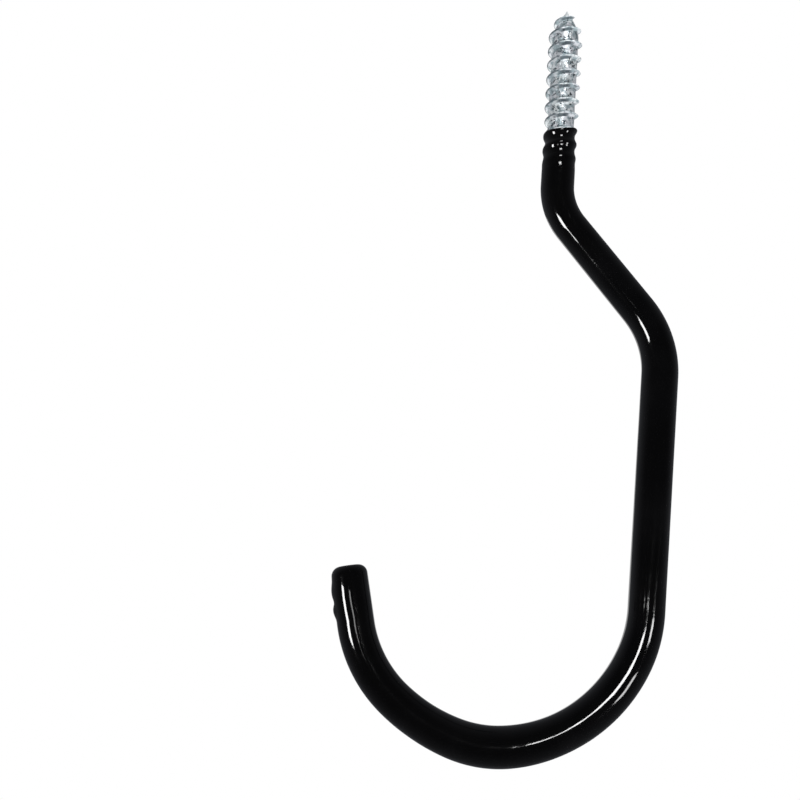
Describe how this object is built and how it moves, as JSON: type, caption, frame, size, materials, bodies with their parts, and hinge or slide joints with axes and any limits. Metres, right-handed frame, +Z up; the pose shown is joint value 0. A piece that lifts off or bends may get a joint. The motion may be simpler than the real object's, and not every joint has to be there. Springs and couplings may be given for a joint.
{
  "type": "bicycle storage hook",
  "caption": "Ceiling hook for hanging a bicycle by its wheel: a bent steel rod with a wood screw thread, dipped in black vinyl from the thread down to the tip.",
  "frame": {"origin": "on the screw's axis, where the bare thread ends and the vinyl begins, which is the face of the beam when the hook is screwed home", "axes": "+Z up the screw to its point, +X from the screw's axis towards the shank, -X towards the tip, -Y towards the viewer of the picture; the hook lies in the XZ plane"},
  "size_m": [0.0737, 0.0088, 0.1745],
  "materials": {
    "zinc_plated_steel": "bright zinc plate over a rolled thread, finely mottled",
    "black_vinyl": "glossy dipped vinyl, slightly pooled in the cradle and at the tip"
  },
  "bodies": {
    "root": {"steel_hook": "zinc_plated_steel", "vinyl_coating": "black_vinyl"}
  },
  "joints": []
}
